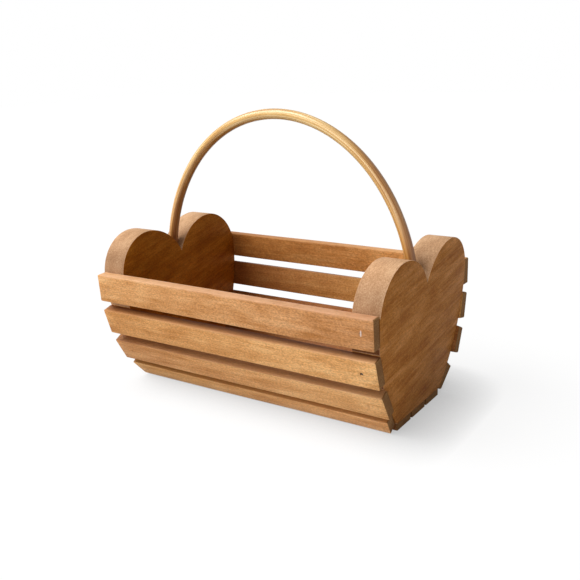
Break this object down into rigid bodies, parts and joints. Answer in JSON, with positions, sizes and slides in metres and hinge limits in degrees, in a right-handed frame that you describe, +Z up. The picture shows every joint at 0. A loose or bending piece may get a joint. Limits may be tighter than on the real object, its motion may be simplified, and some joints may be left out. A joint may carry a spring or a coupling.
{
  "type": "wood slat basket",
  "caption": "Open wooden basket: heart-shaped end panels with slats nailed round their sides and bottom, and a fixed bent cane handle arching over the middle.",
  "frame": {"origin": "centre of the underside, on the floor the basket stands on", "axes": "+X along the basket to the right-hand end panel, +Y to the back, +Z up"},
  "size_m": [0.256, 0.1611, 0.224],
  "materials": {
    "panel_wood": "oiled hardwood board, planed faces, bandsawn and sanded edge",
    "slat_wood": "oiled hardwood strip, planed, with lightly eased edges and sawn ends",
    "cane": "bent peeled cane, varnished",
    "nail_steel": "dull finishing nail, punched below the surface"
  },
  "bodies": {
    "root": {"end_panel_left": "panel_wood", "end_panel_right": "panel_wood", "front_slat_1": "slat_wood", "front_slat_2": "slat_wood", "front_slat_3": "slat_wood", "front_slat_4": "slat_wood", "back_slat_1": "slat_wood", "back_slat_2": "slat_wood", "back_slat_3": "slat_wood", "back_slat_4": "slat_wood", "bottom_slat_1": "slat_wood", "bottom_slat_2": "slat_wood", "bottom_slat_3": "slat_wood", "handle_rod": "cane", "nail_front_slat_1_left": "nail_steel", "nail_front_slat_1_right": "nail_steel", "nail_front_slat_2_left": "nail_steel", "nail_front_slat_2_right": "nail_steel", "nail_front_slat_3_left": "nail_steel", "nail_front_slat_3_right": "nail_steel", "nail_front_slat_4_left": "nail_steel", "nail_front_slat_4_right": "nail_steel", "nail_back_slat_1_left": "nail_steel", "nail_back_slat_1_right": "nail_steel", "nail_back_slat_2_left": "nail_steel", "nail_back_slat_2_right": "nail_steel", "nail_back_slat_3_left": "nail_steel", "nail_back_slat_3_right": "nail_steel", "nail_back_slat_4_left": "nail_steel", "nail_back_slat_4_right": "nail_steel", "nail_bottom_slat_1_left": "nail_steel", "nail_bottom_slat_1_right": "nail_steel", "nail_bottom_slat_2_left": "nail_steel", "nail_bottom_slat_2_right": "nail_steel", "nail_bottom_slat_3_left": "nail_steel", "nail_bottom_slat_3_right": "nail_steel"}
  },
  "joints": []
}
